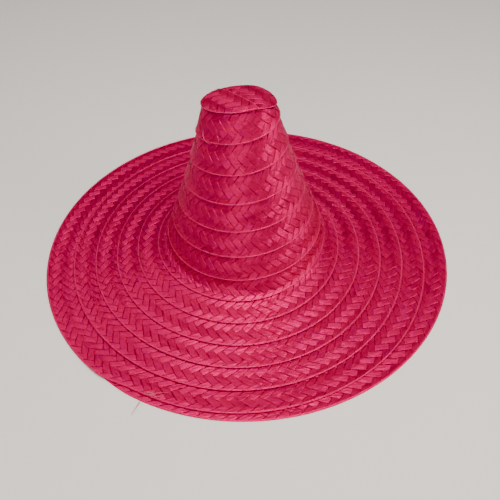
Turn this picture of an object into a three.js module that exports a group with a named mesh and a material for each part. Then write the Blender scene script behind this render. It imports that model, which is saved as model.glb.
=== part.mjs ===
// A wide sombrero of dyed palm, sewn from one long flat plait.
// The plait starts folded at the crown's tip and coils outwards to the rim. Each lap lies over
// the next one below it, so every lower edge shows as a step.
// Units are millimetres and degrees. +Z is up, the front of the hat faces -Y, and the origin is
// the centre of the rim, on the surface that the hat rests on.
import * as THREE from 'three';

// The plait
const PLAIT_WIDTH = 35;
const PLAIT_THICKNESS = 1.5;
const LAP_GAP = 0.3;
const LAP_RISE = PLAIT_THICKNESS + LAP_GAP;
const WIDEST_OVERLAP = 9.3;

// The hat's form: a curve from the rim inwards and up to the tip, turned round the crown's axis
const RIM_RADIUS = 235;
const SLOPE_TABLE = [
  { along: 0, slope: 0 },
  { along: 33, slope: 0 },
  { along: 37, slope: 6 },
  { along: 70, slope: 8 },
  { along: 138, slope: 18 },
  { along: 152, slope: 72 },
  { along: 190, slope: 70 },
  { along: 270, slope: 73 },
  { along: 345, slope: 79 },
];
const CURVE_LENGTH = 400;
const CURVE_STEP = 0.5;

// The crown leans a little to the hat's right side and is pressed to an oval at the tip
const CROWN_ROOT_HEIGHT = 45;
const CROWN_RISE = 160;
const TIP_LEAN = -3.4;
const TIP_OVAL = 0.7;

// The coil, counted in turns from the end of the plait's tail at the front left.
// The laps show 25.7 wide on the brim and widen up the crown.
const TAIL_ANGLE = -120;
const FIRST_EDGE = 6.5;
const BRIM_STEP = 25.7;
const BRIM_TURNS = 7;
const CROWN_STEP = 26.6;
const CROWN_STEP_GROWTH = 1.3;
const CROWN_PLAIT_TURN = 4.583;
const LAST_TURN = 12.6;
const SEGMENTS_PER_TURN = 52;

// Share of each turn's step that is made over a short arc at the front right, and that arc
const BRIM_STEP_UP = 0.72;
const CROWN_STEP_UP = 0.14;
const STEP_UP_START = 15;
const STEP_UP_SPAN = 115;

// The plait's tail is tucked in under the lap above it over this share of a turn
const TAIL_BLEND = 12 / 360;
const TAIL_TUCK = 2;
const NARROWEST_LAP = 3;

// Corners across each lap's visible part, as shares of its width
const FLAT_LAP_CORNERS = [0, 1];
const CURVED_LAP_CORNERS = [0, 0.5, 1];

// The folded start of the plait, an oval plate that closes the tip
const TIP_HEIGHT = 208;
const TIP_SLOPE_SIDE = Math.tan(THREE.MathUtils.degToRad(5));
const TIP_SLOPE_BACK = Math.tan(THREE.MathUtils.degToRad(-4));
const TIP_DROP_START = 8;
const TIP_DROP = 7 / 25 ** 2;
const TIP_ALONG = 338;
const WALL_TOP_PASSES = 4;
const TIP_OVERHANG = 0.5;
const TIP_EDGE_MARGIN = 1.5;
const TIP_RINGS = [
  { share: 0.6, rise: 0 },
  { share: 0.9, rise: 0 },
  { share: 1, rise: 0 },
  { share: 1, rise: 1.3 },
  { share: 0.97, rise: 2 },
  { share: 0.85, rise: 2.6 },
  { share: 0.5, rise: 3.5 },
];
const TIP_DOME_RISE = 4;

const DYED_PALM = { color: 0xc8083f, roughness: 0.55, metalness: 0 };
const DYED_PALM_CROWN = { color: 0xd00a48, roughness: 0.5, metalness: 0 };
const DYED_PALM_TIP = { color: 0xb00840, roughness: 0.55, metalness: 0 };

const { clamp, degToRad, lerp, smoothstep } = THREE.MathUtils;

// Slope of the hat's surface at a distance along the curve
function slopeAt(along) {
  const last = SLOPE_TABLE.length - 1;
  const next = SLOPE_TABLE.findIndex((row) => row.along > along);
  if (next < 0) return SLOPE_TABLE[last].slope;
  const low = SLOPE_TABLE[next - 1];
  const high = SLOPE_TABLE[next];
  return lerp(low.slope, high.slope, (along - low.along) / (high.along - low.along));
}

// The curve itself, summed in small steps from the rim
function makeCurve() {
  const curve = [{ radius: RIM_RADIUS, height: 0 }];
  for (let along = CURVE_STEP; along <= CURVE_LENGTH; along += CURVE_STEP) {
    const slope = degToRad(slopeAt(along - CURVE_STEP / 2));
    const before = curve[curve.length - 1];
    curve.push({
      radius: before.radius - Math.cos(slope) * CURVE_STEP,
      height: before.height + Math.sin(slope) * CURVE_STEP,
    });
  }
  return curve;
}
const CURVE = makeCurve();

function curvePoint(along) {
  const place = clamp(along / CURVE_STEP, 0, CURVE.length - 2);
  const index = Math.floor(place);
  const share = place - index;
  return {
    radius: lerp(CURVE[index].radius, CURVE[index + 1].radius, share),
    height: lerp(CURVE[index].height, CURVE[index + 1].height, share),
  };
}

function alongAtHeight(height) {
  const index = CURVE.findIndex((point) => point.height > height);
  const low = CURVE[index - 1].height;
  const share = (height - low) / (CURVE[index].height - low);
  return (index - 1 + share) * CURVE_STEP;
}

// A point on the hat's inner surface, with the crown's lean and oval
function surfacePoint(along, angle) {
  const { radius, height } = curvePoint(along);
  const up = Math.max((height - CROWN_ROOT_HEIGHT) / CROWN_RISE, 0);
  const pressed = 1 - (1 - TIP_OVAL) * up * up;
  const turn = degToRad(angle);
  return new THREE.Vector3(
    radius * Math.cos(turn) + TIP_LEAN * up,
    radius * Math.sin(turn) * pressed,
    height,
  );
}

function surfaceNormal(along, angle) {
  const inward = surfacePoint(along + 0.5, angle).sub(surfacePoint(Math.max(along - 0.5, 0), angle));
  const round = surfacePoint(along, angle + 0.5).sub(surfacePoint(along, angle - 0.5));
  return round.cross(inward).normalize();
}

function offsetPoint(along, angle, offset) {
  return surfacePoint(along, angle).addScaledVector(surfaceNormal(along, angle), offset);
}

// Height of the tip plate's underside above a point, and where the crown's wall meets it.
// The plate bends down towards its end on the wearer's left.
function tipFloor(point) {
  const drop = TIP_DROP * Math.max(point.x - TIP_DROP_START, 0) ** 2;
  return TIP_HEIGHT + TIP_SLOPE_SIDE * point.x + TIP_SLOPE_BACK * point.y - drop;
}

function wallTop(angle) {
  const cornerRise = PLAIT_THICKNESS * Math.cos(degToRad(slopeAt(TIP_ALONG)));
  let along = TIP_ALONG;
  for (let pass = 0; pass < WALL_TOP_PASSES; pass += 1) {
    const floor = tipFloor(offsetPoint(along, angle, PLAIT_THICKNESS));
    along = alongAtHeight(floor - LAP_GAP - cornerRise);
  }
  return along;
}

// Where a lap's lower edge lies after a whole number of turns
function edgeAfterTurns(turns) {
  const brimTurns = Math.min(turns, BRIM_TURNS) - 1;
  const crownTurns = Math.max(turns - BRIM_TURNS, 0);
  const growth = CROWN_STEP_GROWTH * crownTurns * (crownTurns - 1) / 2;
  return FIRST_EDGE + BRIM_STEP * brimTurns + CROWN_STEP * crownTurns + growth;
}

// Where a lap's lower edge lies at any turn. Most of each step up is made at the front right.
function lapEdge(turn) {
  if (turn < 0) return TAIL_TUCK * smoothstep(-turn, 0, TAIL_BLEND);
  if (turn < 1) return FIRST_EDGE * smoothstep(turn, 1 - TAIL_BLEND, 1);
  const whole = Math.floor(turn);
  const part = turn - whole;
  const stepUp = smoothstep(part * 360, STEP_UP_START, STEP_UP_START + STEP_UP_SPAN);
  const weight = whole < BRIM_TURNS ? BRIM_STEP_UP : CROWN_STEP_UP;
  const low = edgeAfterTurns(whole);
  const high = edgeAfterTurns(whole + 1);
  return lerp(low, high, (1 - weight) * part + weight * stepUp);
}

// How far a lap's lower edge is lifted by the lap under it. The outermost lap lies flat.
function edgeLift(turn) {
  return LAP_RISE * smoothstep(turn, 1 - 2 * TAIL_BLEND, 1 - TAIL_BLEND);
}

function turnAngle(turn) {
  return TAIL_ANGLE + 360 * turn;
}

// Where a lap runs in under the next one, or under the tip plate
function coveredEdge(turn) {
  const nextEdge = Math.max(lapEdge(turn + 1), lapEdge(turn) + NARROWEST_LAP);
  return Math.min(nextEdge, wallTop(turnAngle(turn)) - TIP_EDGE_MARGIN);
}

// One cross-section of the plait: rows of distance along the curve, underside and top
function lapSection(turn, cornerShares) {
  const top = wallTop(turnAngle(turn));
  const lower = lapEdge(turn);
  const covered = coveredEdge(turn);
  const isLast = turn > LAST_TURN - 1 + 1 / SEGMENTS_PER_TURN;
  const reach = Math.min(lower + PLAIT_WIDTH, covered + WIDEST_OVERLAP, top);
  const upper = isLast ? top : Math.max(reach, covered + TIP_EDGE_MARGIN / 2);
  const nextEdge = lapEdge(turn + 1);
  const nextDrop = isLast ? 0 : LAP_RISE / (coveredEdge(turn + 1) - nextEdge);
  const rows = cornerShares.map((share) => ({
    along: lerp(lower, covered, share),
    under: edgeLift(turn) * (1 - share),
  }));
  rows.push({ along: upper, under: -nextDrop * (upper - covered) });
  return rows.map(({ along, under }) => {
    const lowest = -curvePoint(along).height;
    const isUnderNext = !isLast && along > nextEdge;
    const headroom = isUnderNext ? LAP_RISE - nextDrop * (along - nextEdge) - LAP_GAP : Infinity;
    return { along, under: Math.max(under, lowest), over: Math.min(under + PLAIT_THICKNESS, headroom) };
  });
}

// The ring of corners round one cross-section: along the underside, then back over the top
function sectionRing(turn, cornerShares) {
  const angle = turnAngle(turn);
  const rows = lapSection(turn, cornerShares);
  const underside = rows.map((row) => offsetPoint(row.along, angle, row.under));
  const topside = rows.map((row) => offsetPoint(row.along, angle, row.over));
  return [...underside, ...topside.reverse()];
}

function meshFrom(name, positions, triangles, finish) {
  const geometry = new THREE.BufferGeometry();
  geometry.setAttribute('position', new THREE.Float32BufferAttribute(positions, 3));
  geometry.setIndex(triangles);
  geometry.computeVertexNormals();
  const mesh = new THREE.Mesh(geometry, new THREE.MeshStandardMaterial(finish));
  mesh.name = name;
  return mesh;
}

// A closed body through rings of the same number of corners, capped at both ends
function loftRings(name, rings, finish) {
  const count = rings[0].length;
  const positions = rings.flat().flatMap((corner) => corner.toArray());
  const triangles = [];
  for (let ring = 0; ring < rings.length - 1; ring += 1) {
    for (let side = 0; side < count; side += 1) {
      const a = ring * count + side;
      const b = ring * count + (side + 1) % count;
      triangles.push(a, b, b + count);
      triangles.push(a, b + count, a + count);
    }
  }
  const lastRing = (rings.length - 1) * count;
  for (let side = 0; side < count / 2 - 1; side += 1) {
    const across = count - 1 - side;
    triangles.push(side, across, side + 1);
    triangles.push(side + 1, across, across - 1);
    triangles.push(lastRing + side, lastRing + side + 1, lastRing + across);
    triangles.push(lastRing + side + 1, lastRing + across - 1, lastRing + across);
  }
  return meshFrom(name, positions, triangles, finish);
}

// A stretch of the plait between two turns, with its far end held back by the gap
function plait(name, startTurn, endTurn, cornerShares, finish) {
  const first = Math.round((startTurn * 360 + TAIL_ANGLE) * SEGMENTS_PER_TURN / 360);
  const last = Math.round((endTurn * 360 + TAIL_ANGLE) * SEGMENTS_PER_TURN / 360);
  const rings = [];
  for (let station = first; station <= last; station += 1) {
    const turn = station / SEGMENTS_PER_TURN - TAIL_ANGLE / 360;
    const { radius } = curvePoint(lapEdge(turn));
    const heldBack = station === last ? LAP_GAP / (2 * Math.PI * radius) : 0;
    rings.push(sectionRing(turn - heldBack, cornerShares));
  }
  return loftRings(name, rings, finish);
}

// The folded start of the plait: an oval plate, slightly domed, on the crown's upper edge
function tipPlate(name, finish) {
  const centre = surfacePoint(TIP_ALONG, 0).add(surfacePoint(TIP_ALONG, 180)).multiplyScalar(0.5);
  const positions = [centre.x, centre.y, tipFloor(centre)];
  const triangles = [];
  const ringStart = (ring) => 1 + ring * SEGMENTS_PER_TURN;
  const outline = [];
  for (let side = 0; side < SEGMENTS_PER_TURN; side += 1) {
    const angle = side * 360 / SEGMENTS_PER_TURN;
    outline.push(offsetPoint(wallTop(angle), angle, PLAIT_THICKNESS + LAP_GAP + TIP_OVERHANG));
  }
  TIP_RINGS.forEach(({ share, rise }) => outline.forEach((corner) => {
    const place = centre.clone().lerp(corner, share);
    positions.push(place.x, place.y, tipFloor(place) + rise);
  }));
  positions.push(centre.x, centre.y, tipFloor(centre) + TIP_DOME_RISE);
  const apex = positions.length / 3 - 1;
  for (let side = 0; side < SEGMENTS_PER_TURN; side += 1) {
    const next = (side + 1) % SEGMENTS_PER_TURN;
    triangles.push(0, ringStart(0) + next, ringStart(0) + side);
    for (let ring = 0; ring < TIP_RINGS.length - 1; ring += 1) {
      const low = ringStart(ring);
      const high = ringStart(ring + 1);
      triangles.push(low + side, low + next, high + next);
      triangles.push(low + side, high + next, high + side);
    }
    const last = ringStart(TIP_RINGS.length - 1);
    triangles.push(last + side, last + next, apex);
  }
  return meshFrom(name, positions, triangles, finish);
}

const hat = new THREE.Group();
hat.add(plait('brim_plait', -TAIL_BLEND, CROWN_PLAIT_TURN, FLAT_LAP_CORNERS, DYED_PALM));
hat.add(plait('crown_plait', CROWN_PLAIT_TURN, LAST_TURN, CURVED_LAP_CORNERS, DYED_PALM_CROWN));
hat.add(tipPlate('crown_tip', DYED_PALM_TIP));

export default hat;
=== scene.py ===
# %% [markdown]
# # A sombrero sewn from one long palm plait
# The hat in the photograph is a tall-crowned sombrero of dyed palm leaf. Its maker split palm leaves
# into strips 7.5 mm wide, plaited seven of them into a flat band about 35 mm wide, and sewed that band
# to itself in one coil, from the tip of the crown out to the rim. Each lap lies over the one below it.
# This notebook builds every strip of that plait in Blender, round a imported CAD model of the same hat.
# The CAD model is loaded first. It stays where it is, and the woven pieces take its place.

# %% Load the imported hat
import math

import bpy
import numpy as np
from mathutils import Matrix, Vector


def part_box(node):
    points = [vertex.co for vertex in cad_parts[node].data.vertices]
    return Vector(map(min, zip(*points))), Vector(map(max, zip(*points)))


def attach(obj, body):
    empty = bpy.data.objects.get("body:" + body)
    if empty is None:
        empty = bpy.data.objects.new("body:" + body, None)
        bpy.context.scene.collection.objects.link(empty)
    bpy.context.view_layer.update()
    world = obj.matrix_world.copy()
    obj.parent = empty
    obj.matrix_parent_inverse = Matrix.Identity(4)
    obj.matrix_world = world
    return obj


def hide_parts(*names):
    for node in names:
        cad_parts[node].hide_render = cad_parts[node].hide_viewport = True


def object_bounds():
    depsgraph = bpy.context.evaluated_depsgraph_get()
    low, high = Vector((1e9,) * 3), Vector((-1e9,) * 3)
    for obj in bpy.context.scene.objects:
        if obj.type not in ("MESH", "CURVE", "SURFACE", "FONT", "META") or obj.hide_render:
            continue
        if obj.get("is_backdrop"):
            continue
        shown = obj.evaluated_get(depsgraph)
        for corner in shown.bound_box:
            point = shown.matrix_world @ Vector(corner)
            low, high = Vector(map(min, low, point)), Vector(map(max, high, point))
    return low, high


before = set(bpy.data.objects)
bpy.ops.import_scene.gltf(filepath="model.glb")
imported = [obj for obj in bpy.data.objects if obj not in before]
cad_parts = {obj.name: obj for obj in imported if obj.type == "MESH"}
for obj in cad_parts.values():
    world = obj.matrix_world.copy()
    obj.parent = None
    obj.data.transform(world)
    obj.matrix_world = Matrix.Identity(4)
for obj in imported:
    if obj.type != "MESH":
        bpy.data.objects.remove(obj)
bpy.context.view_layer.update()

MM = 0.001
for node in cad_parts:
    low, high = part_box(node)
    size = [round((b - a) / MM) for a, b in zip(low, high)]
    print(node, "measures", size, "mm")

# %% [markdown]
# ## The camera
# The photograph was taken from in front of the hat and well above it, looking down at 45 degrees.
# Its place was found by fitting the outline of the hat and all the seams of the crown and brim, so
# the camera comes first: each render can then be held against the photograph.
# The target is the point that the middle of the image looks at, and the camera is turned by a
# little over a degree round its own line of sight. Left and right are meant below as it sees them.

# %% Place the camera
LENS_PIXELS = 700
IMAGE_PIXELS = 500
SENSOR_WIDTH = 36
NEAREST_SEEN = 0.01
CAMERA_DISTANCE = 839.5
CAMERA_HEIGHT_ANGLE = math.radians(45.44)
CAMERA_ROLL = math.radians(-1.33)
CAMERA_TARGET = Vector((4.42, 0, -2.97))


def place_camera():
    backwards = Vector((0, -math.cos(CAMERA_HEIGHT_ANGLE), math.sin(CAMERA_HEIGHT_ANGLE)))
    level = Vector((1, 0, 0))
    upwards = backwards.cross(level)
    right = level * math.cos(CAMERA_ROLL) + upwards * math.sin(CAMERA_ROLL)
    up = upwards * math.cos(CAMERA_ROLL) - level * math.sin(CAMERA_ROLL)
    place = (CAMERA_TARGET + backwards * CAMERA_DISTANCE) * MM
    data = bpy.data.cameras.new("camera")
    data.sensor_width = SENSOR_WIDTH
    data.lens = SENSOR_WIDTH * LENS_PIXELS / IMAGE_PIXELS
    data.clip_start = NEAREST_SEEN
    camera = bpy.data.objects.new("camera", data)
    columns = Matrix((right, up, backwards)).transposed()
    camera.matrix_world = Matrix.Translation(place) @ columns.to_4x4()
    bpy.context.scene.collection.objects.link(camera)
    bpy.context.scene.camera = camera
    return camera


camera = place_camera()
print("camera at", [round(value, 3) for value in camera.matrix_world.translation], "m")

# %% [markdown]
# ## The form that the plait is wound on
# Seen in section, the hat is one curve: it starts flat at the rim, rises slowly along the brim,
# bends sharply at the head opening and runs up the crown. Two lists give the curve's slope at
# distances along it, and small steps add up to a radius and a height for each distance.
# The crown leans a little to the left, and towards the tip it is pressed to an oval.
# Arrays of distances and angles go in, and arrays of points come out, because one array
# operation over all the corners is far quicker than a loop.

# %% The hat's curve in section
RIM_RADIUS = 235
SLOPE_ALONG = [0, 33, 37, 70, 138, 152, 190, 270, 345]
SLOPE_DEGREES = [0, 0, 6, 8, 18, 72, 70, 73, 79]
CURVE_LENGTH = 400
CURVE_STEP = 0.5
CROWN_ROOT_HEIGHT = 45
CROWN_RISE = 160
TIP_ALONG = 338
TIP_LEAN = -3.4
TIP_OVAL = 0.7

curve_along = np.arange(0, CURVE_LENGTH + CURVE_STEP, CURVE_STEP)
step_middles = curve_along[:-1] + CURVE_STEP / 2
middle_slope = np.radians(np.interp(step_middles, SLOPE_ALONG, SLOPE_DEGREES))
curve_radius = RIM_RADIUS - np.concatenate([[0], np.cumsum(np.cos(middle_slope)) * CURVE_STEP])
curve_height = np.concatenate([[0], np.cumsum(np.sin(middle_slope)) * CURVE_STEP])


def surface_point(along, angle):
    radius = np.interp(along, curve_along, curve_radius)
    height = np.interp(along, curve_along, curve_height)
    up = np.maximum((height - CROWN_ROOT_HEIGHT) / CROWN_RISE, 0)
    pressed = 1 - (1 - TIP_OVAL) * up * up
    turn = np.radians(angle)
    x = radius * np.cos(turn) + TIP_LEAN * up
    y = radius * np.sin(turn) * pressed
    return np.stack([x, y, height], -1)


tip_row = int(TIP_ALONG / CURVE_STEP)
print("radius and height at the tip:", round(curve_radius[tip_row], 1), round(curve_height[tip_row], 1))

# %% [markdown]
# ## Standing out from the form
# The plait has thickness, so its corners stand out from the form along the form's own normal. Two
# short steps, one round the hat and one up it, lie in the surface, and their cross product is the
# direction straight out of it.

# %% Offset from the form
PROBE = 0.5


def straight_out(along, angle):
    round_way = surface_point(along, angle + PROBE) - surface_point(along, angle - PROBE)
    up_way = surface_point(along + PROBE, angle) - surface_point(np.maximum(along - PROBE, 0), angle)
    outwards = np.cross(round_way, up_way)
    outwards /= np.linalg.norm(outwards, axis=-1, keepdims=True)
    return outwards


def offset_point(along, angle, offset):
    return surface_point(along, angle) + straight_out(along, angle) * np.asarray(offset)[..., None]


print("10 mm out from the tip's front:", np.round(offset_point(TIP_ALONG, -90.0, 10.0), 1), "mm")

# %% [markdown]
# ## The coil
# The laps are counted in turns from the plait's tail at the front left of the rim. On the brim a
# lap shows 25.7 mm, and up the crown the laps widen. The maker steps each lap in mostly over a short
# arc at the front right, so that the edges run nearly level elsewhere. The tail itself runs out to
# nothing under the first lap, in the last 12 degrees of the plait.

# %% Edges of the laps
PLAIT_WIDTH = 35
PLAIT_THICKNESS = 1.5
LAP_GAP = 0.3
LAP_RISE = PLAIT_THICKNESS + LAP_GAP
TAIL_ANGLE = -120
TAIL_BLEND = 12 / 360
TAIL_TUCK = 2
FIRST_EDGE = 6.5
BRIM_STEP = 25.7
BRIM_TURNS = 7
CROWN_STEP = 26.6
CROWN_STEP_GROWTH = 1.3
LAST_TURN = 12.6
STEP_FROM = 15
STEP_TO = 130
BRIM_STEP_UP = 0.72
CROWN_STEP_UP = 0.14


def smoothstep(value, low, high):
    share = np.clip((value - low) / (high - low), 0, 1)
    return share * share * (3 - 2 * share)


def turn_angle(turn):
    return TAIL_ANGLE + 360 * turn


def edge_after_turns(turns):
    crown = np.maximum(turns - BRIM_TURNS, 0)
    growth = CROWN_STEP_GROWTH * crown * (crown - 1) / 2
    return FIRST_EDGE + BRIM_STEP * (np.minimum(turns, BRIM_TURNS) - 1) + CROWN_STEP * crown + growth


def lap_edge(turn):
    whole = np.floor(turn)
    part = turn - whole
    weight = np.where(whole < BRIM_TURNS, BRIM_STEP_UP, CROWN_STEP_UP)
    share = (1 - weight) * part + weight * smoothstep(part * 360, STEP_FROM, STEP_TO)
    low = edge_after_turns(whole)
    coil = low + (edge_after_turns(whole + 1) - low) * share
    first_lap = FIRST_EDGE * smoothstep(turn, 1 - TAIL_BLEND, 1)
    tail = TAIL_TUCK * smoothstep(-turn, 0, TAIL_BLEND)
    return np.where(turn < 0, tail, np.where(turn < 1, first_lap, coil))


FRONT = 30 / 360
print("lap edges at the front:", [round(float(lap_edge(turn + FRONT))) for turn in range(13)], "mm")

# %% [markdown]
# ## The top of the crown's wall
# The last lap of the coil stops just under the flat tip, which slopes a little to one side and drops
# at the other. The height of the wall's top is needed to find where it ends along the curve, and the
# corner's place depends on that end, so four rounds of trial bring the two together.

# %% Find the top of the wall
TIP_HEIGHT = 208
TIP_SLOPE_SIDE = math.tan(math.radians(5))
TIP_SLOPE_BACK = math.tan(math.radians(-4))
TIP_DROP_START = 8
TIP_DROP = 7 / 25 ** 2
TRIAL_ROUNDS = 4


def tip_floor(x, y):
    drop = TIP_DROP * np.maximum(x - TIP_DROP_START, 0) ** 2
    return TIP_HEIGHT + TIP_SLOPE_SIDE * x + TIP_SLOPE_BACK * y - drop


wall_angles = np.arange(0, 361, 2)
wall_slope = math.radians(np.interp(TIP_ALONG, SLOPE_ALONG, SLOPE_DEGREES))
wall_tops = np.full(wall_angles.shape, float(TIP_ALONG))
for number in range(TRIAL_ROUNDS):
    corners = offset_point(wall_tops, wall_angles, np.full(wall_angles.shape, PLAIT_THICKNESS))
    corner_height = tip_floor(corners[:, 0], corners[:, 1]) - LAP_GAP
    wall_height = corner_height - PLAIT_THICKNESS * math.cos(wall_slope)
    wall_tops = np.interp(wall_height, curve_height, curve_along)


def wall_top(angle):
    return np.interp(np.mod(angle, 360), wall_angles, wall_tops)


print("the wall ends", round(wall_tops.min(), 1), "to", round(wall_tops.max(), 1), "mm along the curve")

# %% [markdown]
# ## How the laps lie on each other
# A lap's lower edge stands on the lap below, so it is lifted by one thickness and a gap of 0.3 mm.
# From there the lap leans back to the form, and its upper part runs in under the next lap, where up
# to 9.3 mm of it is hidden. `underside` gives the height of a lap's lower face over the form at any
# distance along it.

# %% Overlap and lift
WIDEST_OVERLAP = 9.3
NARROWEST_LAP = 3
TIP_EDGE_MARGIN = 1.5


def edge_lift(turn):
    return LAP_RISE * smoothstep(turn, 1 - 2 * TAIL_BLEND, 1 - TAIL_BLEND)


def covered_edge(turn):
    next_edge = np.maximum(lap_edge(turn + 1), lap_edge(turn) + NARROWEST_LAP)
    return np.minimum(next_edge, wall_top(turn_angle(turn)) - TIP_EDGE_MARGIN)


def upper_edge(turn):
    top = wall_top(turn_angle(turn))
    covered = covered_edge(turn)
    reach = np.minimum(np.minimum(lap_edge(turn) + PLAIT_WIDTH, covered + WIDEST_OVERLAP), top)
    reach = np.maximum(reach, covered + TIP_EDGE_MARGIN / 2)
    return np.where(turn > LAST_TURN - 1, top, reach)


def underside(turn, along):
    lower = lap_edge(turn)
    covered = covered_edge(turn)
    lifted = edge_lift(turn) * (1 - (along - lower) / (covered - lower))
    drop = LAP_RISE / (covered_edge(turn + 1) - lap_edge(turn + 1))
    drop = np.where(turn > LAST_TURN - 1, 0, drop)
    under = np.where(along < covered, lifted, -drop * (along - covered))
    return np.maximum(under, -np.interp(along, curve_along, curve_height))


shown = [round(float(covered_edge(turn + 0.5) - lap_edge(turn + 0.5)), 1) for turn in range(12)]
print("visible width of each lap:", shown, "mm")

# %% [markdown]
# ## The plait laid out flat
# Every one of the seven strips crosses the plait at about 45 degrees, folds round its edge and
# crosses back. On the way it passes over two strips and under two. Seen on the flat plait that makes
# rows of slanted floats, leaning one way in one row and the other way in the next.
# A plait gives like a net: pulled along, it grows narrower. On the outer laps of the brim the floats
# follow each other every 12 mm, and on the crown, where the plait is pushed together, every 9.5 mm,
# with wider rows. `pitch_at` holds those measured values, and the strip's own width gives the rest.
# The length is counted in unstretched plait, summed along the middle of each lap's visible part.

# %% Length along the plait
STRIP_WIDTH = 7.5
STRIPS = 7
ROOT_TWO = math.sqrt(2)
WOVEN_WIDTH = STRIPS * STRIP_WIDTH / ROOT_TWO
EVEN_PITCH = ROOT_TWO * STRIP_WIDTH
PITCH_TURNS = [0, 2, 4, 6, 8, 12.6]
PITCHES = [12.2, 11.7, 11.1, 10.5, 9.7, 9.3]
LAP_MIDDLE = 14
SPARE_TURN = 0.4


def pitch_at(turn):
    return np.interp(turn, PITCH_TURNS, PITCHES)


def row_stretch(turn):
    lean = np.arcsin(STRIP_WIDTH / pitch_at(turn))
    return STRIP_WIDTH / np.cos(lean) / EVEN_PITCH


turn_table = np.arange(-TAIL_BLEND, LAST_TURN + SPARE_TURN, 1 / 360)
middle_points = surface_point(lap_edge(turn_table) + LAP_MIDDLE, turn_angle(turn_table))
steps = np.linalg.norm(np.diff(middle_points, axis=0), axis=1)
real_length = np.concatenate([[0], np.cumsum(steps)])
unstretched_steps = steps * EVEN_PITCH / pitch_at(turn_table[1:])
length_table = np.concatenate([[0], np.cumsum(unstretched_steps)])


def length_at(turn):
    return float(np.interp(turn, turn_table, length_table))


def turn_at(length):
    return np.interp(length, length_table, turn_table)


plait_length = np.interp(LAST_TURN, turn_table, real_length)
print("plait:", round(plait_length * MM, 2), "m long and", round(WOVEN_WIDTH, 1), "mm wide")

# %% [markdown]
# ## The section of one leaf strip
# A strip of palm leaf is thin, flat and a little rounded at its sides. A ring of corners gives that
# section: two side corners and a row on each face, two to a face where the strip runs nearly flat
# and more where it must follow a hem. The rings stand closer together at the folds, where the strip
# turns over. No strip is quite even, so slow waves that don't repeat in the plait's whole length
# shift its path, its width and its twist. Sums of sines do that with the same result on each run.

# %% Section and waves of a strip
LEAF_EDGE = 0.52
LEAF_FLAT = 0.36
LEAF_HALF_THICKNESS = 0.12
FOLD_REACH = 0.6
FOLD_START = 0.25
CLOSEST_ROWS = 0.05
ROWS_BETWEEN_FOLDS = 21
WAVE_PERIODS = (23.0, 41.0, 67.0, 113.0, 17.0)
random = np.random.default_rng(7)
wave_starts = random.uniform(0, 2 * math.pi, (STRIPS, len(WAVE_PERIODS)))


def leaf_ring(columns):
    flat = np.linspace(-LEAF_FLAT, LEAF_FLAT, columns)
    across = np.concatenate([[-LEAF_EDGE], flat, [LEAF_EDGE], flat[::-1]]) * STRIP_WIDTH
    face = np.concatenate([[0], np.ones(columns), [0], -np.ones(columns)])
    return across[None, :], face[None, :] * LEAF_HALF_THICKNESS


def wobble(strip, distance, stretch=1.0, shift=0.0):
    distance = distance * stretch + shift
    waves = 0
    for number, period in enumerate(WAVE_PERIODS):
        waves = waves + np.sin(distance / period * 2 * math.pi + wave_starts[strip, number])
    return waves / len(WAVE_PERIODS)


def row_places(first, last, rows_between_folds):
    step = WOVEN_WIDTH / rows_between_folds
    inner = [step * number for number in range(1, rows_between_folds)]
    ends = [WOVEN_WIDTH - FOLD_REACH, WOVEN_WIDTH - FOLD_START]
    one = np.array([0, FOLD_START, FOLD_REACH] + inner + ends)
    folds = range(math.floor(first / WOVEN_WIDTH), math.ceil(last / WOVEN_WIDTH) + 1)
    rows = np.concatenate([one + fold * WOVEN_WIDTH for fold in folds])
    inside = rows[(rows > first + CLOSEST_ROWS) & (rows < last - CLOSEST_ROWS)]
    return np.concatenate([[first], inside, [last]])


print("rings in one crossing of the plait:", len(row_places(0, WOVEN_WIDTH, ROWS_BETWEEN_FOLDS)))

# %% [markdown]
# ## One strip of the weave
# A strip is followed in an unfolded picture, where it runs straight on for ever. Where it passes the
# plait's edge the picture is folded back, like paper round a ruler. The rows of corners run parallel
# to the fold, so the fold is sharp and round at once. `float_height` says how high the strip lies:
# above the crossing strips for two crossings, then below them for two.
# Between folds the strip twists by up to 5 degrees, as a stiff leaf does when it is pulled under
# its neighbour. Each corner also keeps where it lies across and along its own leaf, which the dye
# and the fibres of the material will need.

# %% Follow the strips
FLOAT_RISE = 0.26
FLOAT_SHARPNESS = 0.6
PATH_WANDER = 0.25
WIDTH_WANDER = 0.05
WIDTH_WAVE = (1.3, 50)
TWIST = 0.09
TWIST_WAVE = (2.3, 90)


def float_height(crossings):
    wave = np.sin(math.pi * crossings / 2)
    return FLOAT_RISE * np.sign(wave) * np.abs(wave) ** FLOAT_SHARPNESS


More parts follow.
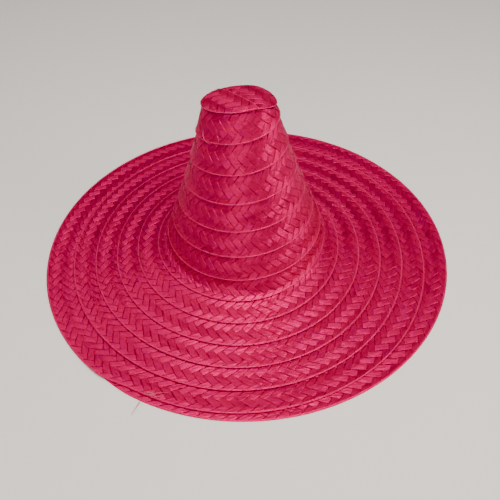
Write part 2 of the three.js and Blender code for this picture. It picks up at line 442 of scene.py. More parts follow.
def strip_corners(strip, start, end, rows_between_folds=ROWS_BETWEEN_FOLDS, columns=2):
    ahead = ROOT_TWO * STRIP_WIDTH * (strip + 0.5)
    rows = row_places(start - ahead, end - ahead, rows_between_folds)[:, None]
    across, rise = leaf_ring(columns)
    width = 1 + WIDTH_WANDER * wobble(strip, rows, *WIDTH_WAVE)
    across = across * width + PATH_WANDER * wobble(strip, rows)
    length = rows + ROOT_TWO * (STRIP_WIDTH * (strip + 0.5) + across)

    fold = np.floor(rows / WOVEN_WIDTH)
    goes_up = fold % 2 == 0
    run = rows - fold * WOVEN_WIDTH
    place = np.where(goes_up, run, WOVEN_WIDTH - run)
    crossings = ROOT_TWO * place / STRIP_WIDTH
    going_up = float_height(crossings + 0.5 + across / STRIP_WIDTH)
    coming_back = float_height(crossings - 1.5 - across / STRIP_WIDTH)
    height = np.where(goes_up, going_up, coming_back)

    nearest = np.round(rows / WOVEN_WIDTH)
    past = rows - nearest * WOVEN_WIDTH
    near_fold = np.abs(past) < FOLD_REACH
    upper_fold = nearest % 2 == 1
    swing = np.clip(past / FOLD_REACH, -1, 1) * math.pi / 2
    height = np.where(near_fold, FLOAT_RISE * np.sin(swing), height)
    bulge = FLOAT_RISE * np.cos(swing) - (FOLD_REACH - np.abs(past))
    bulge = np.where(near_fold, bulge, 0) * np.where(upper_fold, 1, -1)
    turning = np.where(upper_fold, swing + math.pi / 2, math.pi / 2 - swing)
    face_turn = np.where(near_fold, turning, np.where(goes_up, 0, math.pi))
    place = place + bulge - rise * np.sin(face_turn)
    twist = np.where(near_fold, 0, TWIST * wobble(strip, rows, *TWIST_WAVE))
    height = height + (rise + twist * across) * np.cos(face_turn)
    return length, place, height, across, rows + 0 * length


length, place, height, across, rows = strip_corners(0, 0, 400)
print("corners in 400 mm of one strip:", length.size)
print("its height runs from", round(height.min(), 2), "to", round(height.max(), 2), "mm")

# %% [markdown]
# ## From the flat plait to the hat
# `on_lap` puts a point on the hat by its turn of the coil, its distance up from the lap's lower
# edge and its height over the middle of the plait's thickness. `wind` finds these for a corner of
# the flat plait. Only the hidden part of a lap, from 1 mm in under the next lap's edge, is squeezed
# where the plait is short of room, so the rows that show keep their width.

# %% Wind the plait on
RIM_ROUNDING = 0.4
HIDDEN_FROM = 1
LEAST_HIDDEN = 0.5
NARROWEST_PART = 0.01


def on_lap(turn, reach, height):
    along = lap_edge(turn) + reach
    middle = underside(turn, along) + PLAIT_THICKNESS / 2
    return offset_point(np.maximum(along, -RIM_ROUNDING), turn_angle(turn), middle + height)


def wind(length, place, height):
    turn = turn_at(length)
    lower = lap_edge(turn)
    room = upper_edge(turn) - lower
    shown = np.minimum(covered_edge(turn) - lower + HIDDEN_FROM, room - LEAST_HIDDEN)
    full = WOVEN_WIDTH * row_stretch(turn)
    squeeze = np.clip((room - shown) / np.maximum(full - shown, NARROWEST_PART), 0, 1)
    reach = place * row_stretch(turn)
    reach = np.minimum(reach, shown) + np.maximum(reach - shown, 0) * squeeze
    return on_lap(turn, reach, height)


rim_corner = wind(np.array([500.0]), np.array([0.0]), np.array([0.0]))
print("a corner on the rim:", np.round(rim_corner, 1), "mm")

# %% [markdown]
# ## Meshes of rings
# Strips, thread and hairs are all long things with one section, so one function builds them all: it
# joins ring after ring with four-cornered faces, closes both ends and keeps every part of a piece in
# one mesh. Four values go with each corner for the material: the leaf coordinates in mm, the dye,
# how near the corner is to the plait's edge, and the direction along the leaf, which the shine needs.

# %% Build a mesh of ringed parts
NO_LENGTH = 1e-9


def ring_faces(rings, count, start):
    ring = np.arange(rings - 1)[:, None] * count + start
    side = np.arange(count)[None, :]
    following = (side + 1) % count
    faces = np.stack([ring + side, ring + following, ring + following + count, ring + side + count], -1)
    return faces.reshape(-1, 4)


def ringed_piece(name, parts):
    points, faces, caps = [], [], []
    values = {"leaf": [], "dye": [], "edge": [], "along_leaf": []}
    base = 0
    for corners, leaf, dye, edge in parts:
        rings, count = corners.shape[:2]
        heading = np.gradient(corners, axis=0)
        heading /= np.maximum(np.linalg.norm(heading, axis=-1, keepdims=True), NO_LENGTH)
        points.append(corners.reshape(-1, 3))
        faces.append(ring_faces(rings, count, base))
        caps.append(list(range(base, base + count)))
        caps.append([base + (rings - 1) * count + side for side in reversed(range(count))])
        values["leaf"].append(leaf.reshape(-1, 3))
        values["dye"].append(np.broadcast_to(dye, (rings, count)).ravel())
        values["edge"].append(np.broadcast_to(edge, (rings, count)).ravel())
        values["along_leaf"].append(heading.reshape(-1, 3))
        base += rings * count
    mesh = bpy.data.meshes.new(name)
    mesh.from_pydata((np.concatenate(points) * MM).tolist(), [], np.concatenate(faces).tolist() + caps)
    for label, blocks in values.items():
        data = np.concatenate(blocks).astype(np.float32)
        kind, field = ("FLOAT_VECTOR", "vector") if data.ndim == 2 else ("FLOAT", "value")
        layer = mesh.attributes.new(label, kind, "POINT")
        layer.data.foreach_set(field, data.ravel())
    mesh.shade_smooth()
    mesh.update()
    piece = bpy.data.objects.new(name, mesh)
    bpy.context.scene.collection.objects.link(piece)
    print(name, len(mesh.polygons), "faces")
    return piece


print("faces between two rings of six corners:", len(ring_faces(2, 6, 0)))

# %% [markdown]
# ## The woven laps
# The seven strips of one stretch of plait become one piece. Four stretches keep each mesh light, and
# each ends exactly where the next one starts. The dye of a strip changes slowly along it, because
# the leaf takes the colour unevenly, and each strip draws its own patch of the noise patterns.

# %% Weave the laps
LEAF_APART = 40
DYE_STRETCH = 0.23
DYE_SHIFT = 37
EDGE_FADE = 4.5
CROWN_PLAIT_TURN = 4.583
CUT_TURNS = [-TAIL_BLEND, 1.9, CROWN_PLAIT_TURN, 7.6, LAST_TURN]
CUT_NAMES = ["brim_weave_outer", "brim_weave_inner", "crown_weave_lower", "crown_weave_upper"]


def woven_piece(name, place_on, start, end, rows_between_folds=ROWS_BETWEEN_FOLDS, columns=2):
    parts = []
    for strip in range(STRIPS):
        found = strip_corners(strip, start, end, rows_between_folds, columns)
        length, place, height, across, rows = found
        corners = place_on(length, place, height)
        own_patch = 0 * length + strip * LEAF_APART
        leaf = np.stack([across, rows * ROOT_TWO, own_patch], -1)
        dye = 0.5 + 0.5 * wobble(strip, rows, DYE_STRETCH, strip * DYE_SHIFT)
        # The edge value drives the lighter fold colour: partly wear, partly a painted highlight of the
        # edge.
        edge = np.clip(1 - place / EDGE_FADE, 0, 1)
        parts.append((corners, leaf, dye, edge))
    return ringed_piece(name, parts)


woven = []
for name, first, last in zip(CUT_NAMES, CUT_TURNS[:-1], CUT_TURNS[1:]):
    woven.append(woven_piece(name, wind, length_at(first), length_at(last)))

# %% [markdown]
# ## The folded start on the crown's tip
# The coil starts as two short lengths of plait laid side by side over the oval top, one edge over
# the other, so a light diagonal edge crosses the tip. Round the oval they are folded under, like a
# hem. `on_tip` rolls whatever reaches past the outline round a small radius and back in below.
# The weave is calmer towards the hem, where the leaf is pressed flat by the sewing.

# %% Roll plait over the tip's outline
TIP_CLEARANCE = 0.1
TIP_OUTSET = PLAIT_THICKNESS + TIP_CLEARANCE
HEM_RADIUS = 0.7
HEM_TOP = 1.9
TIP_DOME = 1.9
CALM_FROM = 0.8
HEM_CALM = 0.55
LIFT_CALM = 0.62

tip_centre = (surface_point(TIP_ALONG, 0) + surface_point(TIP_ALONG, 180)) / 2
outline_angles = np.arange(0, 360, 3.0)
outset = np.full(outline_angles.shape, TIP_OUTSET)
outline_points = offset_point(wall_top(outline_angles), outline_angles, outset)
outline_east = outline_points[:, 0] - tip_centre[0]
outline_north = outline_points[:, 1] - tip_centre[1]
outline_bearing = np.arctan2(outline_north, outline_east)
outline_reach = np.hypot(outline_north, outline_east)


def on_tip(x, y, height, lift):
    east = x - tip_centre[0]
    north = y - tip_centre[1]
    bearing = np.arctan2(north, east)
    limit = np.interp(bearing, outline_bearing, outline_reach, period=2 * math.pi)
    distance = np.hypot(east, north)
    past = np.maximum(distance - limit, 0)
    roll = np.minimum(past / HEM_RADIUS, math.pi)
    under = np.maximum(past - HEM_RADIUS * math.pi, 0)
    share = np.minimum(distance / limit, 1)
    calm = smoothstep(share, CALM_FROM, 1)
    radius = HEM_RADIUS + height * (1 - HEM_CALM * calm) + lift * (1 - LIFT_CALM * calm)
    out = np.where(past > 0, limit + radius * np.sin(roll) - under, distance)
    x = tip_centre[0] + out * np.cos(bearing)
    y = tip_centre[1] + out * np.sin(bearing)
    rise = HEM_TOP + TIP_DOME * (1 - share * share) - HEM_RADIUS + radius * np.cos(roll)
    return np.stack([x, y, tip_floor(x, y) + rise], -1)


print("the tip's oval:", np.round(np.ptp(outline_points[:, :2], axis=0), 1), "mm")

# %% [markdown]
# ## The flaps
# The left flap lies over the right one along the fold line. A third layer, straight across and half
# a millimetre lower, closes the view into the crown where the two flaps' hems leave it open, as the
# coil's hidden inner turns do on the real hat. These strips bend over a hem of only 0.7 mm, so they
# get more rings and more corners across than those of the laps.

# %% Lay the flaps
FOLD_MIDDLE = np.array([-6.5, 5.5])
FOLD_HEADING = np.array([0.66, -0.75])
FLAP_OVERLAP = 5
FLAP_SPREAD = 1.08
FLAP_RISE = 1.3
FLAP_RISE_FROM = 6
FLAP_RISE_TO = 20
FLAP_WEAVE = 0.7
UNDER_MIDDLE = 18.5
UNDER_DEPTH = 0.45
UNDER_WEAVE = 0.5
LEFT_ENDS = (-36, 48)
RIGHT_ENDS = (-48, 36)
UNDER_ENDS = (-48, 48)
FLAP_ROWS = 80
FLAP_COLUMNS = 8
UNDER_ROWS = 60
UNDER_COLUMNS = 4


def left_flap(length, place, height):
    side = np.array([FOLD_HEADING[1], -FOLD_HEADING[0]]) * FLAP_SPREAD
    x = FOLD_MIDDLE[0] + FOLD_HEADING[0] * length + side[0] * place
    y = FOLD_MIDDLE[1] + FOLD_HEADING[1] * length + side[1] * place
    lift = FLAP_RISE * (1 - smoothstep(place, FLAP_RISE_FROM, FLAP_RISE_TO))
    return on_tip(x, y, FLAP_WEAVE * height, lift)


def right_flap(length, place, height):
    side = np.array([-FOLD_HEADING[1], FOLD_HEADING[0]]) * FLAP_SPREAD
    place = place - FLAP_OVERLAP
    x = FOLD_MIDDLE[0] - FOLD_HEADING[0] * length + side[0] * place
    y = FOLD_MIDDLE[1] - FOLD_HEADING[1] * length + side[1] * place
    return on_tip(x, y, FLAP_WEAVE * height, 0 * length)


def under_flap(length, place, height):
    y = tip_centre[1] + UNDER_MIDDLE - place
    return on_tip(tip_centre[0] + length, y, UNDER_WEAVE * height - UNDER_DEPTH, 0 * length)


tip_flaps = [woven_piece("tip_weave_left", left_flap, *LEFT_ENDS, FLAP_ROWS, FLAP_COLUMNS),
             woven_piece("tip_weave_right", right_flap, *RIGHT_ENDS, FLAP_ROWS, FLAP_COLUMNS),
             woven_piece("tip_weave_under", under_flap, *UNDER_ENDS, UNDER_ROWS, UNDER_COLUMNS)]

# %% [markdown]
# ## Colours and nodes
# A colour picked from a picture is an sRGB value, and Blender's shaders calculate in linear light,
# so one function converts hex colours. Another adds a shader node with its settings, its links and
# the stops of a colour ramp, which keeps each material readable as a list of nodes. A node given as
# an input stands for its first output.

# %% Helpers for materials
def linear(hex_colour):
    values = [int(hex_colour[place:place + 2], 16) / 255 for place in (1, 3, 5)]
    return [v / 12.92 if v <= 0.04045 else ((v + 0.055) / 1.055) ** 2.4 for v in values] + [1]


def add_node(tree, kind, settings=None, inputs=None, stops=()):
    node = tree.nodes.new(kind)
    for name, value in (settings or {}).items():
        setattr(node, name, value)
    for socket, value in (inputs or {}).items():
        if isinstance(value, bpy.types.Node):
            value = value.outputs[0]
        if isinstance(value, bpy.types.NodeSocket):
            tree.links.new(value, node.inputs[socket])
        else:
            node.inputs[socket].default_value = value
    for number in range(2, len(stops)):
        node.color_ramp.elements.new(0.5)
    for number, (position, hex_colour) in enumerate(stops):
        node.color_ramp.elements[number].position = position
        node.color_ramp.elements[number].color = linear(hex_colour)
    return node


def new_material(name):
    material = bpy.data.materials.new(name)
    material.use_nodes = True
    material.node_tree.nodes.clear()
    return material, material.node_tree


print("crimson in linear light:", [round(value, 3) for value in linear("#C8083F")])

# %% [markdown]
# ## Dye in palm leaf
# Palm leaf is a pale yellow fibre that was boiled in an aniline dye bath. The dye takes unevenly:
# one strip comes out crimson, the next one nearer magenta or red. Three things are added up to one
# tone for the colour ramp: the strip's own dye, blots about 20 mm by 11 mm, and broad patches of
# 56 mm over the whole hat. Fine ribs 0.5 mm wide and 14 mm long streak it lighter and darker; their
# noise seldom leaves the range from 0.3 to 0.7, so that range is stretched.
# Where the leaf is folded at the plait's edge the colour is lighter: partly for its broken surface,
# partly as a painted highlight of the rounded edge catching the light. Along its cut sides the colour
# is lighter too: partly for frayed fibres, partly as a painted highlight that offsets the shade in the
# grooves between strips. The leaf's colours have no green in them: the dye swallows green light, and
# only so does the hat keep its depth of colour in bright light.

# %% Colour of the dyed leaf
BLOTS_PER_MM = (0.05, 0.09, 1.0)
PATCHES_PER_METRE = 18.0
DYE_SHARE = 0.5
BLOT_SHARE = 1.3
PATCH_SHARE = 0.3
TONE_SHIFT = -0.42
NOISE_LOW = 0.3
NOISE_HIGH = 0.7
STREAK_DARK = 0.8
STREAK_LIGHT = 1.12
# The fold's lighter colour is partly wear and partly a painted highlight of the edge catching light.
FOLD_WEAR_AND_HIGHLIGHT = 0.7
# The cut sides' lighter colour is partly fraying and partly a painted highlight against the grooves'
# shade.
CUT_SIDE_FROM = 2.9
CUT_SIDE_TO = 3.8
CUT_SIDE_FRAY_AND_HIGHLIGHT = 0.6


def dye_colour(tree, leaf, fibre, stops, edge_colour):
    dye = add_node(tree, "ShaderNodeAttribute", {"attribute_name": "dye"}).outputs["Fac"]
    edge = add_node(tree, "ShaderNodeAttribute", {"attribute_name": "edge"}).outputs["Fac"]
    place = add_node(tree, "ShaderNodeTexCoord").outputs["Object"]
    blots = add_node(tree, "ShaderNodeVectorMath", {"operation": "MULTIPLY"}, {
        0: leaf, 1: BLOTS_PER_MM})
    blot = add_node(tree, "ShaderNodeTexNoise", inputs={"Vector": blots, "Scale": 1.0, "Detail": 2.0})
    patch = add_node(tree, "ShaderNodeTexNoise", inputs={
        "Vector": place, "Scale": PATCHES_PER_METRE, "Detail": 2.0})
    tone = add_node(tree, "ShaderNodeMath", {"operation": "MULTIPLY_ADD"}, {
        0: dye, 1: DYE_SHARE, 2: TONE_SHIFT})
    tone = add_node(tree, "ShaderNodeMath", {"operation": "MULTIPLY_ADD"}, {
        0: blot, 1: BLOT_SHARE, 2: tone})
    tone = add_node(tree, "ShaderNodeMath", {"operation": "MULTIPLY_ADD"}, {
        0: patch, 1: PATCH_SHARE, 2: tone})
    dyed = add_node(tree, "ShaderNodeValToRGB", inputs={"Fac": tone}, stops=stops)
    streak = add_node(tree, "ShaderNodeMapRange", inputs={
        "Value": fibre, "From Min": NOISE_LOW, "From Max": NOISE_HIGH,
        "To Min": STREAK_DARK, "To Max": STREAK_LIGHT})
    streaked = add_node(tree, "ShaderNodeVectorMath", {"operation": "SCALE"}, {
        0: dyed, "Scale": streak})
    # Painted highlight, partly wear: the colour lightens towards the plait's folded edge.
    near = add_node(tree, "ShaderNodeMath", {"operation": "POWER"}, {0: edge, 1: 2.0})
    fold_wear_highlight_mix = add_node(tree, "ShaderNodeMath", {"operation": "MULTIPLY"}, {0: near, 1: FOLD_WEAR_AND_HIGHLIGHT})
    folded = add_node(tree, "ShaderNodeMix", {"data_type": "RGBA"}, {
        "Factor": fold_wear_highlight_mix, 6: streaked, 7: linear(edge_colour)})
    # Painted highlight, partly fraying: the colour lightens along each strip's cut sides, offsetting
    # the shade in the grooves.
    across = add_node(tree, "ShaderNodeSeparateXYZ", inputs={"Vector": leaf})
    sideways = add_node(tree, "ShaderNodeMath", {"operation": "ABSOLUTE"}, {0: across})
    cut_side_fray_highlight_mix = add_node(tree, "ShaderNodeMapRange", inputs={
        "Value": sideways, "From Min": CUT_SIDE_FROM, "From Max": CUT_SIDE_TO,
        "To Min": 0.0, "To Max": CUT_SIDE_FRAY_AND_HIGHLIGHT})
    mixed = add_node(tree, "ShaderNodeMix", {"data_type": "RGBA"}, {
        "Factor": cut_side_fray_highlight_mix, 6: folded.outputs[2], 7: linear(edge_colour)})
    return mixed.outputs[2]


print("blots:", [round(1 / number) for number in BLOTS_PER_MM[:2]], "mm")
print("patches:", round(1 / PATCHES_PER_METRE / MM), "mm")

# %% [markdown]
# ## The surface of the leaf
# Split palm leaf is neither matt nor mirror-like. Its wax and its ribs give a satin shine that
# spreads across the ribs and hardly along them, so each float flashes as one bright dash when it
# lies right for the light. A plain leaf body (refractive index 1.5, roughness 0.4) is mixed with an
# anisotropic gloss whose direction is the leaf's own. The dye colours the shine too, as it sits in
# the wax. Two bumps are added: dents of 4 mm by 7 mm where the drying leaf has warped, 0.8 mm deep,
# and the fine ribs, 0.3 mm deep at half strength, drawn coarser than real ones so that they show.

# %% Make the palm material
RIBS_PER_MM = (2.0, 0.07, 1.0)
DENTS_PER_MM = (0.25, 0.14, 1.0)
DENT_DEPTH = 0.0008
RIB_DEPTH = 0.0003
LEAF_IOR = 1.5
BODY_SHINE = 0.05
SHINE_TINT = "#FF0060"
SATIN_COLOUR = "#FF007A"
SATIN_ROUGHNESS = 0.38
SATIN_STRETCH = 0.5
SATIN_SHARE = 0.3


def leaf_relief(tree, leaf, fibre):
    dents = add_node(tree, "ShaderNodeVectorMath", {"operation": "MULTIPLY"}, {
        0: leaf, 1: DENTS_PER_MM})
    dent = add_node(tree, "ShaderNodeTexNoise", inputs={"Vector": dents, "Scale": 1.0, "Detail": 1.0})
    dented = add_node(tree, "ShaderNodeBump", inputs={
        "Strength": 1.0, "Distance": DENT_DEPTH, "Height": dent})
    return add_node(tree, "ShaderNodeBump", inputs={
        "Strength": 0.5, "Distance": RIB_DEPTH, "Height": fibre, "Normal": dented})


def palm_material(name, stops, edge_colour, roughness):
    material, tree = new_material(name)
    leaf = add_node(tree, "ShaderNodeAttribute", {"attribute_name": "leaf"}).outputs["Vector"]
    along = add_node(tree, "ShaderNodeAttribute", {"attribute_name": "along_leaf"}).outputs["Vector"]
    ribs = add_node(tree, "ShaderNodeVectorMath", {"operation": "MULTIPLY"}, {
        0: leaf, 1: RIBS_PER_MM})
    fibre = add_node(tree, "ShaderNodeTexNoise", inputs={"Vector": ribs, "Scale": 1.0, "Detail": 3.0})
    colour = dye_colour(tree, leaf, fibre, stops, edge_colour)
    relief = leaf_relief(tree, leaf, fibre)
    body = add_node(tree, "ShaderNodeBsdfPrincipled", inputs={
        "Base Color": colour, "Roughness": roughness, "IOR": LEAF_IOR, "Normal": relief,
        "Specular Tint": linear(SHINE_TINT), "Specular IOR Level": BODY_SHINE})
    satin = add_node(tree, "ShaderNodeBsdfAnisotropic", inputs={
        "Color": linear(SATIN_COLOUR), "Roughness": SATIN_ROUGHNESS, "Anisotropy": SATIN_STRETCH,
        "Normal": relief, "Tangent": along})
    surface = add_node(tree, "ShaderNodeMixShader", inputs={"Fac": SATIN_SHARE, 1: body, 2: satin})
    add_node(tree, "ShaderNodeOutputMaterial", inputs={"Surface": surface})
    return material


PALM_STOPS = [(0.0, "#580018"), (0.3, "#7C0028"), (0.5, "#900032"),
              (0.68, "#A2003A"), (0.82, "#8C0044"), (0.95, "#AC0024")]
# Lighter colour of the folds and cut sides: partly wear, partly a painted highlight.
PALM_EDGE = "#D8004C"
PALM_ROUGHNESS = 0.4
dyed_palm = palm_material("palm leaf, boiled in crimson dye", PALM_STOPS, PALM_EDGE, PALM_ROUGHNESS)
NODES = {"brim": "brim_plait", "crown": "crown_plait", "tip": "crown_tip"}
for piece in woven + tip_flaps:
    piece.data.materials.append(dyed_palm)
    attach(piece, "root")
    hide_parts(NODES[piece.name.split("_")[0]])
print("palm material has", len(dyed_palm.node_tree.nodes), "nodes")

# %% [markdown]
# ## The sewing along each lap
# The laps are sewn down close to their lower edges. From a step away the thread and the folded
# edge make one thin light line round the hat, the feature that the eye reads first. The thread is
# a flattened tube on top of the edge that rises and widens along each stitch, 5 mm long, and dips
# between two stitches.

# %% Sew the laps
SEAM_INSET = 1.5
SEAM_WANDER = 0.25
SEAM_WAVE = 31
STITCH_LENGTH = 5.0
STITCH_SHARPNESS = 0.4
THREAD_STEP = 1.25
THREAD_SIDES = 6
THREAD_HEIGHT = 0.35
THREAD_LOW = 0.1
BRIM_THREAD_WIDTH = 0.55
CROWN_THREAD_WIDTH = 0.45
THREAD_PINCH = 0.4
THREAD_DYE = 0.5
THREAD_END = 0.05


def stitch_rise(places):
    return np.abs(np.sin(math.pi * places / STITCH_LENGTH)) ** STITCH_SHARPNESS


def seam_piece(name, first_turn, last_turn, width):
    start, end = np.interp([first_turn, last_turn], turn_table, real_length)
    places = np.arange(start, end, THREAD_STEP)[:, None]
    turn = np.interp(places, real_length, turn_table)
    sides = np.arange(THREAD_SIDES)[None, :] * 2 * math.pi / THREAD_SIDES
    rise = stitch_rise(places)
    wander = SEAM_INSET + SEAM_WANDER * np.sin(places / SEAM_WAVE)
    reach = wander + width * (1 - THREAD_PINCH * (1 - rise)) * np.cos(sides)
    height = THREAD_HEIGHT * rise + THREAD_LOW + THREAD_HEIGHT * np.sin(sides)
    corners = on_lap(turn + 0 * reach, reach, height)
    leaf = np.stack([reach, places + 0 * reach, 0 * reach], -1)
    return ringed_piece(name, [(corners, leaf, THREAD_DYE, 0)])


seams = [seam_piece("brim_seam_thread", 0.0, CROWN_PLAIT_TURN, BRIM_THREAD_WIDTH),
         seam_piece("crown_seam_thread", CROWN_PLAIT_TURN, LAST_TURN - THREAD_END, CROWN_THREAD_WIDTH)]

# %% [markdown]
# ## Round tubes
# The thread on the tip and the loose hairs are round tubes along a path of points. At each point two
# directions square to the path carry a ring of corners. They come from cross products with one fixed
# direction, which works as long as no path runs along that direction. The rings stand a millimetre
# apart or a little less, so for the material a ring's number serves as the length along its leaf.

# %% Make round tubes
FIXED_DIRECTION = [0.3, 0.2, 0.93]
TUBE_DYE = 0.6
TUBE_EDGE = 0.3


def tube(path, radii, sides):
    heading = np.gradient(path, axis=0)
    heading /= np.linalg.norm(heading, axis=1, keepdims=True)
    beside = np.cross(heading, FIXED_DIRECTION)
    beside /= np.linalg.norm(beside, axis=1, keepdims=True)
    above = np.cross(beside, heading)
    turn = np.arange(sides)[None, :, None] * 2 * math.pi / sides
    ring = beside[:, None, :] * np.cos(turn) + above[:, None, :] * np.sin(turn)
    return path[:, None, :] + np.asarray(radii)[:, None, None] * ring


def tubes_piece(name, threads, sides):
    parts = []
    done = 0
    for path, radii in threads:
        run = np.repeat(np.arange(len(path))[:, None], sides, axis=1)
        leaf = np.stack([0 * run, run, 0 * run + done], -1)
        parts.append((tube(path, radii, sides), leaf, TUBE_DYE, TUBE_EDGE))
        done += run.size
    return ringed_piece(name, parts)


straight_tube = tube(np.array([[0.0, 0, 0], [10, 0, 0]]), [0.5, 0.5], THREAD_SIDES)
print("corners of a straight tube:", len(straight_tube.reshape(-1, 3)))

# %% [markdown]
# ## The sewing on the tip
# One thread runs round the hem of the tip and holds it to the wall. Another follows the left flap's
# edge over the top. That is the light diagonal line of the photograph.
# The thread is cotton that was spun, then dyed with the hat. It is paler and rougher than leaf, and
# it has fibres of its own, so it reuses the leaf's nodes with pinker colours and a roughness of 0.5.

# %% Sew the tip
TIP_SEAM_OUT = 0.35
TIP_SEAM_RISE = 1.35
TIP_SEAM_WAVE = 0.12
TIP_STITCHES = 31
TIP_SEAM_RADIUS = 0.5
TIP_EDGE_INSET = 1.6
TIP_EDGE_FROM = -26.5
TIP_EDGE_TO = 39.5
TIP_EDGE_STEP = 0.8
TIP_EDGE_LOW = 0.55
TIP_EDGE_RISE = 0.45
TIP_EDGE_RADIUS = 0.34
THREAD_STOPS = [(0.0, "#A80840"), (0.5, "#C82060"), (1.0, "#DC4480")]
THREAD_EDGE = "#F00060"
THREAD_ROUGHNESS = 0.5


def tip_seam_path():
    bearing = np.radians(np.arange(0, 361, 1.5))
    reach = np.interp(bearing, outline_bearing, outline_reach, period=2 * math.pi) + TIP_SEAM_OUT
    x = tip_centre[0] + reach * np.cos(bearing)
    y = tip_centre[1] + reach * np.sin(bearing)
    z = tip_floor(x, y) + TIP_SEAM_RISE + TIP_SEAM_WAVE * np.sin(bearing * TIP_STITCHES)
    return np.stack([x, y, z], -1)


def tip_edge_path():
    length = np.arange(TIP_EDGE_FROM, TIP_EDGE_TO, TIP_EDGE_STEP)
    place = np.full(length.shape, TIP_EDGE_INSET)
    return left_flap(length, place, TIP_EDGE_LOW + TIP_EDGE_RISE * stitch_rise(length))


round_tip = tip_seam_path()
over_tip = tip_edge_path()
tip_threads = [(round_tip, np.full(len(round_tip), TIP_SEAM_RADIUS)),
               (over_tip, np.full(len(over_tip), TIP_EDGE_RADIUS))]
seams.append(tubes_piece("tip_seam_thread", tip_threads, THREAD_SIDES))
thread_name = "cotton thread, dyed with the hat"
sewing_thread = palm_material(thread_name, THREAD_STOPS, THREAD_EDGE, THREAD_ROUGHNESS)
for piece in seams:
    piece.data.materials.append(sewing_thread)
    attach(piece, "root")
print("pieces of sewing:", [piece.name for piece in seams])

# %% [markdown]
# ## Loose fibres
# Plait of real leaf is never quite clean. At the front left of the rim the cut ends of the plait's
# tail stand out in a small tuft, one long hair hangs over the rim, and short hairs have come loose on
# the crown and brim. Those that show in the photograph are placed by angle round the hat, distance
# along its curve and height over it. A fibre is one bent curve through three points that gets thinner
# towards its end; a pair of radii gives both ends.

# %% Place the fibres that the photograph shows
FIBRE_RINGS = 12
PLACED_FIBRES = [
    [(188, 116, 2.0), (192, 113, 4.4), (197, 114, 3.4)],
    [(24, 131, 2.0), (21, 131, 4.6), (17, 132, 3.6)],
    [(298, 57, 2.0), (295, 51, 4.8), (295, 43, 3.4)],
    [(210, 314, 2.0), (219, 308, 4.4), (230, 306, 3.6)],
    [(237, 316, 2.0), (242, 311, 4.6), (238, 305, 3.6)],
    [(269, 286, 2.2), (272, 283, 4.4), (276, 280, 3.4)],
    [(244, 9, 2.6), (246, 13, 4.6), (248.5, 18, 3.4)],
]
PLACED_RADII = (0.3, 0.12)
TAIL_HAIR = [(-107.5, -210.5, 1.6), (-110.4, -219.4, 4.2), (-114.7, -224.7, 1.0)]
TAIL_HAIR_RADII = (0.4, 0.2)
TUFT_RADII = (0.42, 0.2)
TUFT_FIBRES = 9
TUFT_ANGLE = 242.6
TUFT_ALONG = 6.5


def on_hat(points):
    along = np.array([point[1] for point in points], float)
    angle = np.array([point[0] for point in points], float)
    return offset_point(along, angle, [point[2] for point in points])


def fibre(points, radii):
    share = np.linspace(0, 1, FIBRE_RINGS)[:, None]
    start, middle, end = np.asarray(points, float)
    bend = 2 * middle - (start + end) / 2
    path = (1 - share) ** 2 * start + 2 * share * (1 - share) * bend + share ** 2 * end
    return path, np.linspace(*radii, FIBRE_RINGS)


fibres = [fibre(on_hat(points), PLACED_RADII) for points in PLACED_FIBRES]
fibres.append(fibre(TAIL_HAIR, TAIL_HAIR_RADII))
for number in range(TUFT_FIBRES):
    start = (TUFT_ANGLE + random.uniform(0, 0.8), TUFT_ALONG + random.uniform(0, 4), 2.4)
    middle = (start[0] + 1.3, start[1] + random.uniform(-0.5, 1.5), 4.2 + random.uniform(-0.5, 0.6))
    end = (start[0] + random.uniform(2.2, 3.8), start[1] + random.uniform(-1, 4), 3.4)
    fibres.append(fibre(on_hat([start, middle, end]), TUFT_RADII))
print(len(fibres), "fibres placed")

# %% [markdown]
# ## Fine hairs
# Forty finer hairs, 4 to 10 mm long, are spread over the laps at random, with a fixed seed so that
# each run gives the same hat. They run roughly along the plait. All fibres become one mesh. They are
# splinters of the same leaf that took little dye, so their stops are paler.

# %% Spread fine hairs
HAIR_COUNT = 40
HAIR_TURNS = (0.3, 12.3)
HAIR_INSET = (2, 18)
HAIR_LENGTH = (4, 10)
HAIR_SWING = math.radians(60)
HAIR_FOOT = 2.2
HAIR_ARCH = 1.6
HAIR_TIP = 1.2
HAIR_RADII = (0.14, 0.06)
HAIR_SIDES = 5
HAIR_STOPS = [(0.0, "#B02850"), (0.5, "#D04068"), (1.0, "#E87890")]
HAIR_EDGE = "#E87890"
HAIR_ROUGHNESS = 0.5

for number in range(HAIR_COUNT):
    turn = random.uniform(*HAIR_TURNS)
    along = float(lap_edge(np.array(turn))) + random.uniform(*HAIR_INSET)
    reach = float(np.interp(along, curve_along, curve_radius))
    swing = random.uniform(-1, 1) * HAIR_SWING
    span = random.uniform(*HAIR_LENGTH)
    start = np.array([turn_angle(turn), along, HAIR_FOOT])
    end = start + [math.degrees(span * math.cos(swing) / reach), span * math.sin(swing), HAIR_TIP]
    middle = (start + end) / 2 + [0, random.uniform(-1, 1), HAIR_ARCH]
    fibres.append(fibre(on_hat([start, middle, end]), HAIR_RADII))
loose_fibres = tubes_piece("loose_fibres", fibres, HAIR_SIDES)
palm_hairs = palm_material("palm hairs, thinly dyed", HAIR_STOPS, HAIR_EDGE, HAIR_ROUGHNESS)
loose_fibres.data.materials.append(palm_hairs)
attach(loose_fibres, "root")

# %% [markdown]
# ## The floor
# The hat rests on a plain pale floor with a coat of matt paint, roughness 0.85, so that nothing
# behind it competes with the weave. A faint noise, in clouds 4 metres across, keeps the paint from
# looking like paper.

# %% Make the floor
FLOOR_REACH = 6.0
FLOOR_CLOUD = 4.0
FLOOR_ROUGHNESS = 0.85
FLOOR_STOPS = [(0.3, "#E6E4E0"), (0.7, "#ECEAE6")]


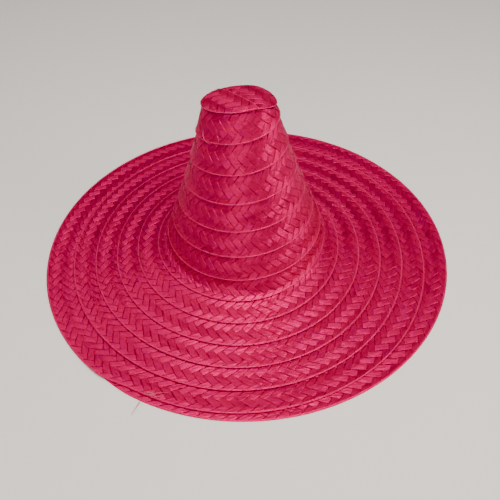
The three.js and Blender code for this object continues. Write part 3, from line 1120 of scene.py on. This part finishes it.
def add_floor():
    mesh = bpy.data.meshes.new("floor")
    corners = [(-1, -1), (1, -1), (1, 1), (-1, 1)]
    mesh.from_pydata([(x * FLOOR_REACH, y * FLOOR_REACH, 0) for x, y in corners], [], [(0, 1, 2, 3)])
    floor = bpy.data.objects.new("floor", mesh)
    bpy.context.scene.collection.objects.link(floor)
    material, tree = new_material("pale studio floor, painted matt")
    noise = add_node(tree, "ShaderNodeTexNoise", inputs={
        "Scale": 2 * FLOOR_REACH / FLOOR_CLOUD, "Detail": 2.0})
    paint = add_node(tree, "ShaderNodeValToRGB", inputs={"Fac": noise}, stops=FLOOR_STOPS)
    surface = add_node(tree, "ShaderNodeBsdfPrincipled", inputs={
        "Base Color": paint, "Roughness": FLOOR_ROUGHNESS})
    add_node(tree, "ShaderNodeOutputMaterial", inputs={"Surface": surface})
    mesh.materials.append(material)
    floor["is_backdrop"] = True
    return floor


floor = add_floor()
print("floor:", [round(value, 1) for value in floor.dimensions], "m")

# %% [markdown]
# ## The light
# In the photograph the front of each lap is bright, a bright band runs up the crown's right side,
# and the back of the brim and the crown's left side are dark. So the main light stands overhead and
# a little in front, a second one high on the right, and a low one far out on the right draws the
# band on the crown. Weaker ones at the left, behind and in front keep those sides open. Their
# strengths were matched with the photograph. A wide ceiling light, which spreads its watts over the
# whole room, keeps the floor pale.
# Each light is a soft rectangle turned to the hat, with a place, watts, a width and a height.

# %% Set the lights
LIGHT_COLOUR = "#FFF8F2"
LIGHT_TARGET = Vector((0, 0, 0.05))
LIGHTS = [
    ("wide ceiling light", (0, 0, 3.5), 45.0, 4.0, 4.0),
    ("overhead light", (0.1, -0.25, 1.15), 8.2, 0.4, 0.4),
    ("high right light", (0.65, -0.3, 1.05), 5.9, 0.4, 0.4),
    ("high left light", (-0.7, -0.25, 0.9), 2.3, 0.4, 0.4),
    ("back left light", (-0.4, 0.55, 0.95), 1.4, 0.4, 0.4),
    ("low right light", (1.25, -0.54, 0.34), 6.2, 0.56, 0.28),
    ("low front light", (-0.15, -0.9, 0.35), 1.9, 0.4, 0.4),
]
SURROUNDINGS_COLOUR = "#E8EAEE"
SURROUNDINGS_STRENGTH = 0.17


def add_area_light(name, place, watts, width, height):
    data = bpy.data.lights.new(name, "AREA")
    data.shape = "RECTANGLE"
    data.size = width
    data.size_y = height
    data.energy = watts
    data.color = linear(LIGHT_COLOUR)[:3]
    light = bpy.data.objects.new(name, data)
    light.location = place
    light.rotation_euler = (LIGHT_TARGET - Vector(place)).to_track_quat("-Z", "Y").to_euler()
    bpy.context.scene.collection.objects.link(light)


for light in LIGHTS:
    add_area_light(*light)
world = bpy.data.worlds.new("studio")
world.use_nodes = True
background = world.node_tree.nodes["Background"]
background.inputs["Color"].default_value = linear(SURROUNDINGS_COLOUR)
background.inputs["Strength"].default_value = SURROUNDINGS_STRENGTH
bpy.context.scene.world = world

# %% [markdown]
# ## Measure and finish
# The finished pieces are measured together, and their overall size is printed. Only the upper flap
# of the tip and its sewing stand over the CAD model, by 2 mm.

# %% Measure and finish
low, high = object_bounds()
print("everything together:", [round((b - a) / MM, 1) for a, b in zip(low, high)], "mm")
